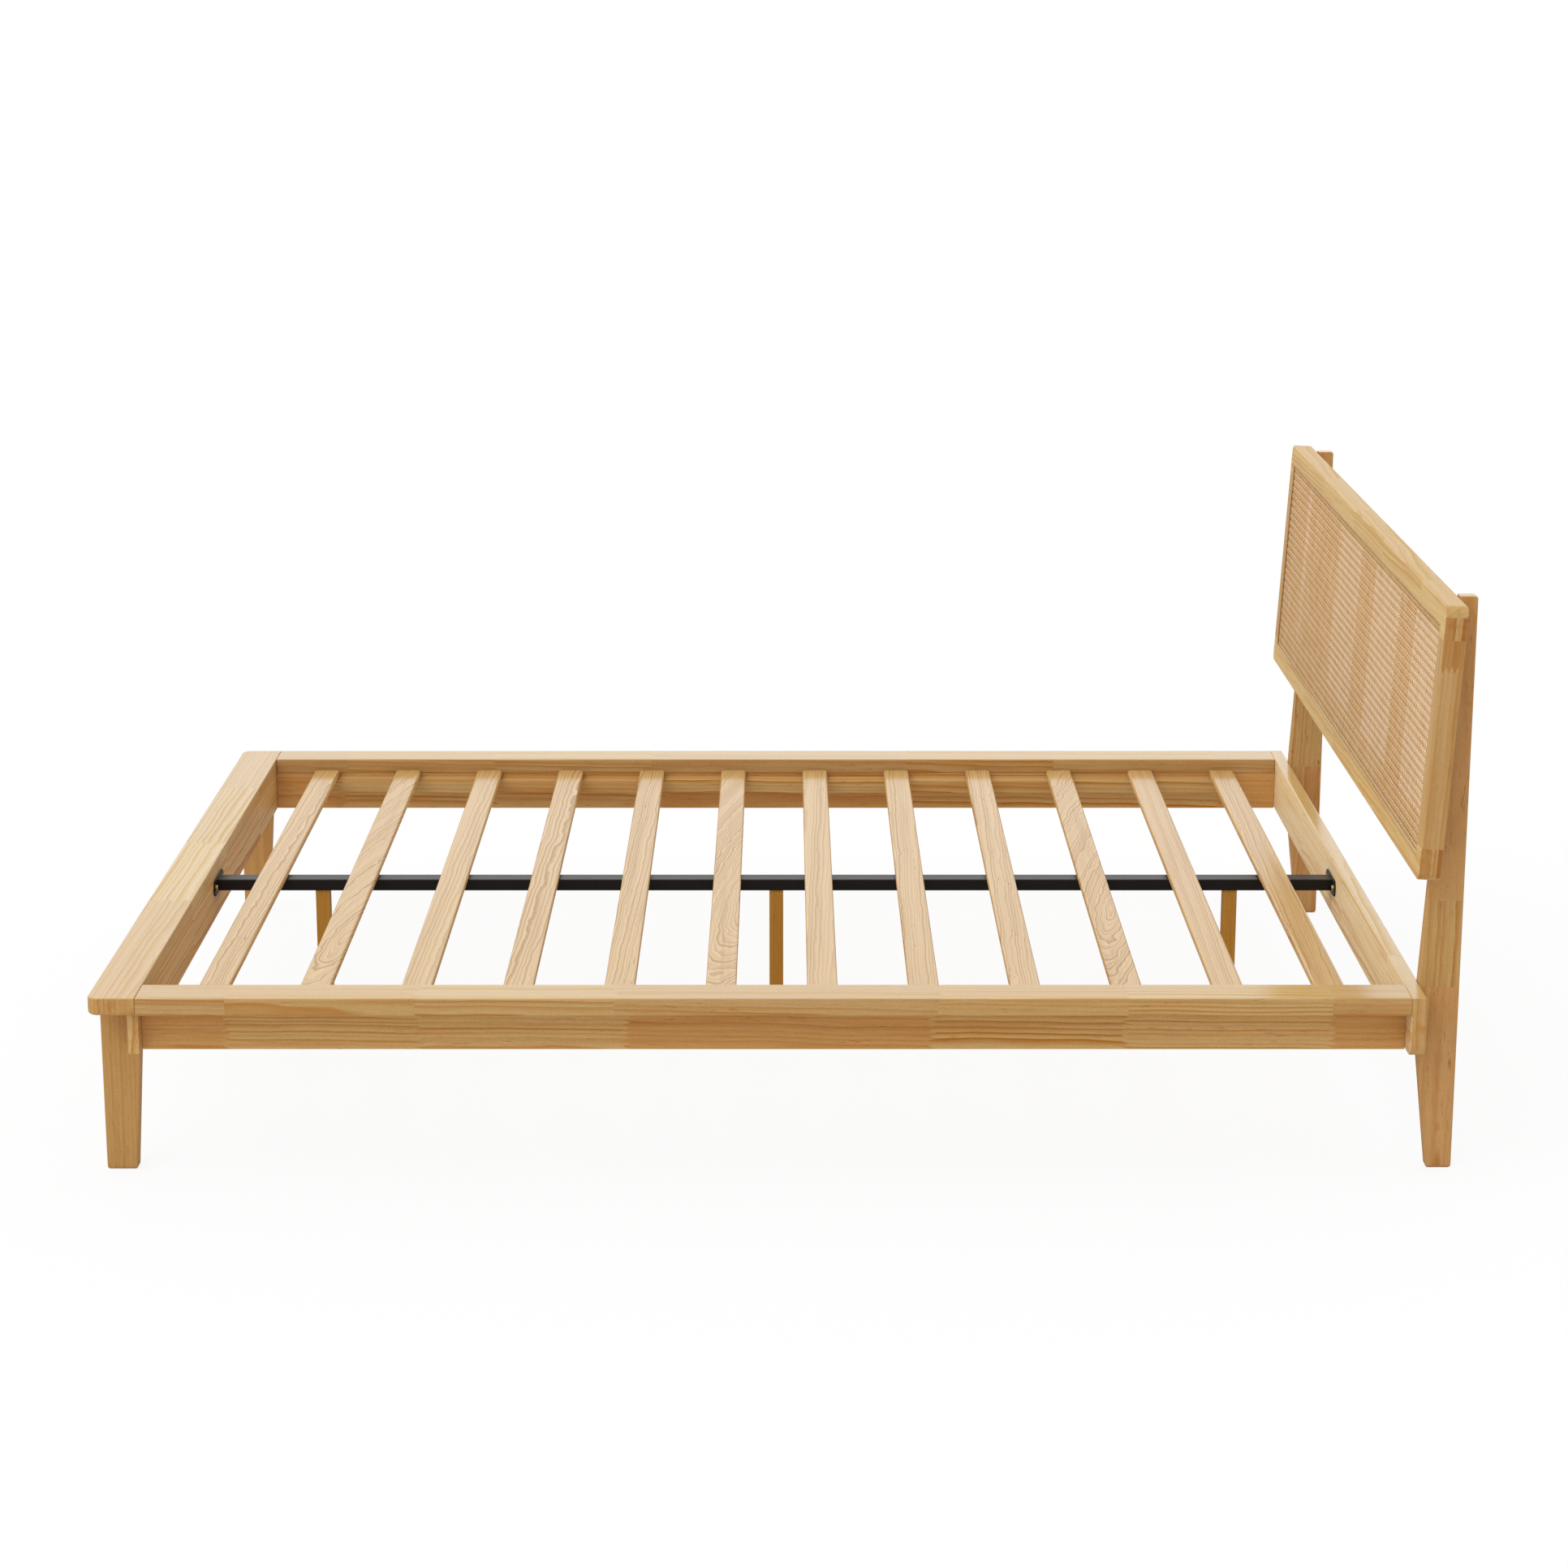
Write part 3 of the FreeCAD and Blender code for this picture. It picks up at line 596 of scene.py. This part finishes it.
class BED_OT_side_rails(bpy.types.Operator):
    """Finish the side rails: caps, boards and slat ledgers"""

    bl_idname = "bed.side_rails"
    bl_label = "Side rails"

    def execute(self, context):
        pine = context.scene.bed_pine
        for side in ("left", "right"):
            dress_pine(f"side_rail_cap_{side}", pine, "X", "capped", CAP_JOINTS, CAP_TONES)
            dress_pine(f"side_rail_board_{side}", pine, "X", "lined", RAIL_JOINTS, RAIL_TONES,
                       fingers="Z")
            dress_pine(f"slat_ledger_{side}", pine, "X", "lined", RAIL_JOINTS, LEDGER_TONES,
                       fingers="Z", line=pine.late_wood, gloss=0.0)
        return {"FINISHED"}


FOOT_CAP_JOINTS = (-0.272, 0.118, 0.529)
FOOT_CAP_TONES = ("honey", "cream", "straw", "tan")
# The apron takes the painted fill tint throughout, as its inner face lies in shade.
APRON_TONES = ("painted_fill",) * 4


class BED_OT_foot_end(bpy.types.Operator):
    """Finish the foot end: cap, apron and tapered legs"""

    bl_idname = "bed.foot_end"
    bl_label = "Foot end"

    def execute(self, context):
        pine = context.scene.bed_pine
        dress_pine("foot_cap", pine, "Y", "capped", FOOT_CAP_JOINTS, FOOT_CAP_TONES)
        dress_pine("foot_apron", pine, "Y", "lined", FOOT_CAP_JOINTS, APRON_TONES, fingers="Z",
                   end="pale")
        for side in ("left", "right"):
            dress_pine(f"foot_leg_{side}", pine, "Z", "quiet", tones=("amber",))
        return {"FINISHED"}


POST_JOINTS = (0.320, 0.465)
POST_TONES = ("copper", "honey", "copper")
TO_FOOT = Vector((-1, 0, 0))
HEAD_RAIL_JOINTS = (-0.60, -0.12, 0.38)
# The head rail's tint is a painted sheen on its face towards the foot.
HEAD_RAIL_TONES = ("lit_ivory",) * 4


class BED_OT_head_end(bpy.types.Operator):
    """Finish the head rail and the two posts"""

    bl_idname = "bed.head_end"
    bl_label = "Head end"

    def execute(self, context):
        pine = context.scene.bed_pine
        dress_pine("head_rail", pine, "Y", "lined", HEAD_RAIL_JOINTS, HEAD_RAIL_TONES, fingers="Z",
                   flank=TO_FOOT)
        for side in ("left", "right"):
            dress_pine(f"head_post_{side}", pine, "Z", "dashed", POST_JOINTS, POST_TONES)
        return {"FINISHED"}


def panel_axes():
    """The cane sheet's middle, and its axes across, up and out of the front face."""
    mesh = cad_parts["cane_panel"].data
    out = max(mesh.polygons, key=lambda face: face.area).normal.copy()
    if out.x > 0:
        out.negate()
    low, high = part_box("cane_panel")
    across = Vector((0, -1, 0))
    return (low + high) / 2, across, out.cross(across), out


# The headboard rails' tint is a painted highlight that pales their faces towards the foot.
HEADBOARD_JOINTS = (-0.62, -0.25, 0.05, 0.42)
HEADBOARD_TONES = ("lit_blond",) * 5
END_DROP = 0.018
STILE_JOINTS = (0.860,)
STILE_TONES = ("tan", "russet")


class BED_OT_headboard_frame(bpy.types.Operator):
    """Finish the headboard's rails, stiles, battens and beads"""

    bl_idname = "bed.headboard_frame"
    bl_label = "Headboard frame"

    def execute(self, context):
        pine = context.scene.bed_pine
        up = panel_axes()[2]
        lean = math.atan2(up.x, up.z)
        for part, end_drop in (("top", END_DROP), ("bottom", 0.0)):
            dress_pine(f"headboard_{part}_rail", pine, "Y", "lined", HEADBOARD_JOINTS, HEADBOARD_TONES,
                       fingers="Z", lean=lean, end="banded", end_drop=end_drop, flank=TO_FOOT, gloss=0.1)
            dress_pine(f"cane_bead_{part}", pine, "Y", "fine", tones=("cream",), lean=lean)
        for side, way in (("left", 1), ("right", -1)):
            dress_pine(f"headboard_stile_{side}", pine, "Z", "quiet", STILE_JOINTS, STILE_TONES,
                       fingers="Z", lean=lean, flank=Vector((0, way, 0)))
            dress_pine(f"cane_bead_{side}", pine, "Z", "fine", tones=("cream",), lean=lean)
        # The battens take a dark tint as painted shade: it darkens what shows through the cane in front of
        # them.
        for number in (1, 2, 3):
            dress_pine(f"headboard_batten_{number}", pine, "Z", "quiet", tones=("russet",), lean=lean)
        return {"FINISHED"}


SLAT_LOOKS = ("dashed", "rippled", "fine", "dashed")


class BED_OT_slats(bpy.types.Operator):
    """Finish the slats, with three kinds of grain in turn"""

    bl_idname = "bed.slats"
    bl_label = "Slats"

    def execute(self, context):
        pine = context.scene.bed_pine
        slats = sorted(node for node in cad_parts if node[:5] == "slat_" and node[5:].isdigit())
        for index, node in enumerate(slats):
            look = SLAT_LOOKS[index % len(SLAT_LOOKS)]
            dress_pine(node, pine, "Y", look, tones=("straw",), early=pine.slat_wood, line=pine.shaded_slat_line,
                       rings=pine.slat_rings, gloss=0.8)
        return {"FINISHED"}


# The woven cane

RING_SIDES = 6
RING_FLAT = math.cos(math.pi / RING_SIDES)
# Rows are drawn pale as a painted highlight on the strands that lie on top; uprights and diagonals are
# drawn dark as painted shade where they lie lower; each strand's tone is also picked at random within its
# range.
LIT_ROW_TONES = (0.0, 0.2)
SHADED_TONES = (0.7, 1.0)

# How far strands lie off the middle of the weave, in strand thicknesses
UPRIGHT_RISE = -0.5
ROW_RISE = 1.5
DIAGONAL_RISE = 0.5


def strand_mesh(cane, stations, place):
    """A closed strand through (place along, height) stations on the X axis, moved into place."""
    bm = bmesh.new()
    ring = bmesh.ops.create_circle(bm, segments=RING_SIDES, radius=0.5)["verts"]
    bmesh.ops.scale(bm, vec=(cane.strand_thickness / RING_FLAT, cane.strand_width, 1.0), verts=ring)
    upright = Matrix.Rotation(math.radians(90), 3, "Y")
    bmesh.ops.rotate(bm, cent=(0, 0, 0), matrix=upright, verts=ring)
    here = Vector((stations[0][0], 0, stations[0][1]))
    bmesh.ops.translate(bm, vec=here, verts=ring)
    rim = bm.edges[:]
    for along, height in stations[1:]:
        step = Vector((along, 0, height)) - here
        grown = bmesh.ops.extrude_edge_only(bm, edges=rim)["geom"]
        fresh = {item for item in grown if isinstance(item, bmesh.types.BMVert)}
        bmesh.ops.translate(bm, vec=step, verts=list(fresh))
        edges = [item for item in grown if isinstance(item, bmesh.types.BMEdge)]
        rim = [edge for edge in edges if fresh.issuperset(edge.verts)]
        here += step
    for face in bm.faces:
        face.smooth = True
    open_ends = [edge for edge in bm.edges if edge.is_boundary]
    bmesh.ops.holes_fill(bm, edges=open_ends, sides=RING_SIDES)
    bmesh.ops.recalc_face_normals(bm, faces=bm.faces)
    bmesh.ops.transform(bm, matrix=place, verts=bm.verts)
    bm.verts.layers.float.new("tone")
    mesh = bpy.data.meshes.new("strand")
    bm.to_mesh(mesh)
    bm.free()
    return mesh


class BED_OT_cane_weave(bpy.types.Operator):
    """Weave the cane: pairs of uprights and rows, and two sets of diagonals"""

    bl_idname = "bed.cane_weave"
    bl_label = "Cane weave"

    def execute(self, context):
        self.cane = context.scene.bed_cane
        middle, across, up, out = panel_axes()
        low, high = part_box("cane_panel")
        self.columns = int((high.y - low.y) / self.cane.column_pitch)
        self.rows = int((high.z - low.z) / up.z / self.cane.row_pitch)
        self.place = Matrix((across, up, out)).transposed().to_4x4()
        self.place.translation = middle
        self.material = cane_material(self.cane)
        self.draw = random.Random(self.cane.seed)
        self.weave("cane_uprights", self.lay_uprights)
        self.weave("cane_rows", self.lay_rows)
        self.weave("cane_rising", lambda bm: self.lay_diagonals(bm, 1))
        self.weave("cane_falling", lambda bm: self.lay_diagonals(bm, -1))
        return {"FINISHED"}

    def weave(self, name, lay):
        """One set of strands as a piece."""
        bm = bmesh.new()
        lay(bm)
        bmesh.ops.transform(bm, matrix=self.place, verts=bm.verts)
        mesh = bpy.data.meshes.new(name)
        bm.to_mesh(mesh)
        bm.free()
        mesh.materials.append(self.material)
        piece = bpy.data.objects.new(name, mesh)
        bpy.context.scene.collection.objects.link(piece)
        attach(piece, FRAME_BODY)
        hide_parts("cane_panel")

    def lay(self, bm, strand, tones):
        """Add a strand to its set, in a tone of its own between the two that are given."""
        tone = self.draw.uniform(*tones)
        strand.attributes["tone"].data.foreach_set("value", [tone] * len(strand.vertices))
        bm.from_mesh(strand)

    def lay_pairs(self, bm, cells, pitch, copies, step, turn, rise, tones):
        """Pairs of strands that go over one strand and under the other of each pair that crosses them."""
        half = cells * pitch / 2
        gap = self.cane.pair_gap / 2
        for side in (-1, 1):
            stations = [(-half, 0.0)]
            for cell in range(cells):
                centre = (cell + 0.5) * pitch - half
                stations += [(centre + near * gap, near * side * rise) for near in (-1, 1)]
            stations.append((half, 0.0))
            first = step * (1 - copies) / 2 + step.normalized() * side * gap
            strand = strand_mesh(self.cane, stations, Matrix.Translation(first) @ turn)
            for _ in range(copies):
                self.lay(bm, strand, tones)
                strand.transform(Matrix.Translation(step))
            bpy.data.meshes.remove(strand)

    def lay_uprights(self, bm):
        cane = self.cane
        turn = Matrix.Rotation(math.radians(90), 4, "Z")
        step = Vector((cane.column_pitch, 0, 0))
        self.lay_pairs(bm, self.rows, cane.row_pitch, self.columns, step, turn,
                       UPRIGHT_RISE * cane.strand_thickness, SHADED_TONES)

    def lay_rows(self, bm):
        cane = self.cane
        turn = Matrix.Identity(4)
        step = Vector((0, cane.row_pitch, 0))
        self.lay_pairs(bm, self.columns, cane.column_pitch, self.rows, step, turn,
                       ROW_RISE * cane.strand_thickness, LIT_ROW_TONES)

    def lay_diagonals(self, bm, way):
        """Straight strands through every crossing, the rising ones above the falling ones."""
        cane = self.cane
        step = Vector((cane.column_pitch, way * cane.row_pitch, 0))
        corner = Vector((-self.columns * cane.column_pitch, -way * self.rows * cane.row_pitch, 0)) / 2
        turn = Matrix.Rotation(math.atan2(step.y, step.x), 4, "Z")
        height = way * DIAGONAL_RISE * cane.strand_thickness
        for start in range(1 - self.rows, self.columns):
            cells = range(max(0, start), min(self.columns, self.rows + start))
            stations = [(place * step.length, height) for place in (cells[0], cells[-1] + 1)]
            down = Vector((0, -way * start * cane.row_pitch, 0))
            strand = strand_mesh(cane, stations, Matrix.Translation(corner + down) @ turn)
            self.lay(bm, strand, SHADED_TONES)
            bpy.data.meshes.remove(strand)


CANE_SPECULAR = 0.2
CANE_WAVES = (25.0, 25.0, 25.0)
CANE_FIBRES = (900.0, 900.0, 900.0)
SLOW_SHARE = 0.4
TONE_SHARE = 0.85
LEAST_SHADE = 0.02
CANE_TONES = (0.9, 1.08)
CANE_ROUGHNESS = (0.34, 0.5)
CANE_INPUTS = (("Place", VECTOR), ("Tone", NUMBER), ("Bark", COLOUR), ("Shade", COLOUR))


def draw_cane(net, given):
    """Cane bark: each strand has its own tone, with slow changes along it and fine fibres; the pale rows
    are a painted highlight and the dark uprights and diagonals are painted shade.
    """
    slow = net.noise(net.vector("MULTIPLY", given["Place"], CANE_WAVES))
    fibre = net.noise(net.vector("MULTIPLY", given["Place"], CANE_FIBRES))
    blend = net.math("MULTIPLY", given["Tone"], TONE_SHARE)
    blend = net.math("MULTIPLY_ADD", net.math("SUBTRACT", slow, 0.5), SLOW_SHARE, blend)
    tone = net.mix(net.math("ADD", blend, LEAST_SHADE, clamp=True), given["Bark"], given["Shade"])
    tone = net.mix(1.0, tone, net.remap(fibre, *NOISE_RANGE, *CANE_TONES), "MULTIPLY")
    return {"Colour": tone, "Roughness": net.remap(slow, *NOISE_RANGE, *CANE_ROUGHNESS)}


def cane_material(cane):
    """The strands' finish."""
    material, net, shader = new_material("cane bark")
    tone = net.node("ShaderNodeAttribute", attribute_name="tone").outputs["Fac"]
    place = net.node("ShaderNodeTexCoord").outputs["Object"]
    strand = finish_group("cane strand", CANE_INPUTS, draw_cane, FLAT_OUTPUTS)
    bark = net.group(strand, Place=place, Tone=tone, Bark=cane.bark, Shade=cane.shade)
    net.feed(shader["Base Color"], bark["Colour"])
    net.feed(shader["Roughness"], bark["Roughness"])
    shader["Specular IOR Level"].default_value = CANE_SPECULAR
    return material


# The steel centre support and the fasteners


class BED_OT_centre_support(bpy.types.Operator):
    """Finish the centre beam, its flanges, its legs and their levelling feet"""

    bl_idname = "bed.centre_support"
    bl_label = "Centre support"

    def execute(self, context):
        metal = context.scene.bed_metal
        coat = mottled_material("powder coat", metal.beam, uneven=0.5, gloss=0.36, grit=700.0,
                                specular=0.25)
        for node in ("centre_beam", "beam_flange_foot", "beam_flange_head"):
            wear(node, coat)
        pine = context.scene.bed_pine
        pad = mottled_material("levelling pad", metal.pad, uneven=0.4, gloss=0.5, grit=900.0)
        for place in ("foot", "middle", "head"):
            dress_pine(f"centre_leg_{place}", pine, "Z", "quiet", early=metal.leg)
            wear(f"leveller_{place}", pad)
        return {"FINISHED"}


BRASS_NODES = ("beam_screws",)
ZINC_NODES = (
    "rail_bolts", "barrel_nuts", "head_rail_bolts", "headboard_bolts", "threaded_inserts", "slat_screws",
    "leg_studs", "leg_nuts",
)
BEECH_NODES = ("rail_dowels", "foot_dowels", "ledger_dowels", "headboard_dowels")


class BED_OT_fasteners(bpy.types.Operator):
    """Finish the screws, bolts, nuts, studs and dowels"""

    bl_idname = "bed.fasteners"
    bl_label = "Fasteners"

    def execute(self, context):
        metal = context.scene.bed_metal
        finishes = {
            "brass plating": (metal.brass, 1.0, BRASS_NODES),
            "zinc plating": (metal.zinc, 1.0, ZINC_NODES),
            "beech": (metal.beech, 0.0, BEECH_NODES),
        }
        for name, (shade, metallic, nodes) in finishes.items():
            material = mottled_material(name, shade, uneven=0.3, gloss=0.36, grit=1500.0, metallic=metallic)
            for node in nodes:
                wear(node, material)
        return {"FINISHED"}


# The studio

FLOOR_SIZE = 400.0
SKY_BLEND = 0.6
SENSOR_WIDTH = 36.0
SUN_FROM = Vector((-0.50, -0.38, 0.78))


def floor_material(stage):
    """A pale floor, all but white to the camera and dim in reflections, with faint shadows."""
    material = mottled_material("floor", stage.floor, uneven=0.01, gloss=0.8, grit=60.0)
    net = Net(material.node_tree)
    glow = net.node("ShaderNodeEmission")
    rays = net.node("ShaderNodeLightPath").outputs
    net.feed(glow.inputs["Strength"], rays["Is Camera Ray"])
    seen = net.math("MULTIPLY", rays["Is Camera Ray"], stage.floor_glow)
    seen = net.math("MULTIPLY_ADD", rays["Is Glossy Ray"], stage.floor_dimming, seen)
    blend = net.node("ShaderNodeMixShader")
    net.feed(blend.inputs[0], seen)
    net.feed(blend.inputs[1], material.node_tree.nodes["Principled BSDF"].outputs[0])
    net.feed(blend.inputs[2], glow.outputs[0])
    net.feed(material.node_tree.nodes["Material Output"].inputs["Surface"], blend.outputs[0])
    return material


class BED_OT_stage(bpy.types.Operator):
    """Set the pale floor, the soft light and the camera"""

    bl_idname = "bed.stage"
    bl_label = "Stage"

    def execute(self, context):
        scene = context.scene
        stage = scene.bed_stage
        self.lay_floor(scene, stage)
        self.light(scene, stage)
        self.set_camera(scene, stage)
        scene.view_settings.view_transform = "Standard"
        return {"FINISHED"}

    def lay_floor(self, scene, stage):
        bm = bmesh.new()
        bmesh.ops.create_grid(bm, x_segments=1, y_segments=1, size=FLOOR_SIZE)
        mesh = bpy.data.meshes.new("floor")
        bm.to_mesh(mesh)
        bm.free()
        mesh.materials.append(floor_material(stage))
        floor = bpy.data.objects.new("floor", mesh)
        scene.collection.objects.link(floor)

    def light(self, scene, stage):
        world = bpy.data.worlds.new("studio")
        world.use_nodes = True
        scene.world = world
        net = Net(world.node_tree)
        light = world.node_tree.nodes["Background"]
        depth = net.split(net.node("ShaderNodeTexCoord").outputs["Generated"])[1]
        sky = net.remap(depth, -SKY_BLEND, SKY_BLEND, stage.sky_front, stage.sky_back)
        net.feed(light.inputs["Strength"], sky)
        light.inputs["Color"].default_value = (1, 1, 1, 1)
        white = net.node("ShaderNodeBackground")
        white.inputs["Color"].default_value = (1, 1, 1, 1)
        seen = net.node("ShaderNodeMixShader")
        net.feed(seen.inputs[0], net.node("ShaderNodeLightPath").outputs["Is Camera Ray"])
        net.feed(seen.inputs[1], light.outputs[0])
        net.feed(seen.inputs[2], white.outputs[0])
        net.feed(world.node_tree.nodes["World Output"].inputs["Surface"], seen.outputs[0])
        data = bpy.data.lights.new("soft sun", "SUN")
        data.energy = stage.sun
        data.angle = stage.sun_spread
        sun = bpy.data.objects.new("soft sun", data)
        sun.rotation_euler = SUN_FROM.to_track_quat("Z", "Y").to_euler()
        scene.collection.objects.link(sun)

    def set_camera(self, scene, stage):
        data = bpy.data.cameras.new("camera")
        data.sensor_width = SENSOR_WIDTH
        data.lens = stage.lens
        camera = bpy.data.objects.new("camera", data)
        camera.location = (stage.camera_side, -stage.camera_distance, stage.camera_height)
        camera.rotation_euler = (math.radians(90) - stage.camera_pitch, 0, 0)
        scene.collection.objects.link(camera)
        scene.camera = camera


class BED_PT_finishes(bpy.types.Panel):
    """The bed's settings and the steps that finish it"""

    bl_label = "Platform bed"
    bl_idname = "BED_PT_finishes"
    bl_space_type = "VIEW_3D"
    bl_region_type = "UI"
    bl_category = "Bed"

    def draw(self, context):
        for name, group in SETTINGS.items():
            box = self.layout.box()
            settings = getattr(context.scene, name)
            for prop in group.__annotations__:
                box.prop(settings, prop)
        for step in STEPS:
            self.layout.operator(step.bl_idname)


SETTINGS = {
    "bed_pine": BED_PG_pine,
    "bed_cane": BED_PG_cane,
    "bed_metal": BED_PG_metal,
    "bed_stage": BED_PG_stage,
}
STEPS = (
    BED_OT_side_rails, BED_OT_foot_end, BED_OT_head_end, BED_OT_headboard_frame, BED_OT_slats,
    BED_OT_cane_weave, BED_OT_centre_support, BED_OT_fasteners, BED_OT_stage,
)


def register():
    for cls in (*SETTINGS.values(), *STEPS, BED_PT_finishes):
        bpy.utils.register_class(cls)
    for name, group in SETTINGS.items():
        setattr(bpy.types.Scene, name, PointerProperty(type=group))


def unregister():
    for name in SETTINGS:
        delattr(bpy.types.Scene, name)
    for cls in reversed((*SETTINGS.values(), *STEPS, BED_PT_finishes)):
        bpy.utils.unregister_class(cls)


def main():
    register()
    bpy.ops.bed.side_rails()
    bpy.ops.bed.foot_end()
    bpy.ops.bed.head_end()
    bpy.ops.bed.headboard_frame()
    bpy.ops.bed.slats()
    bpy.ops.bed.cane_weave()
    bpy.ops.bed.centre_support()
    bpy.ops.bed.fasteners()
    bpy.ops.bed.stage()


if __name__ == "__main__":
    main()
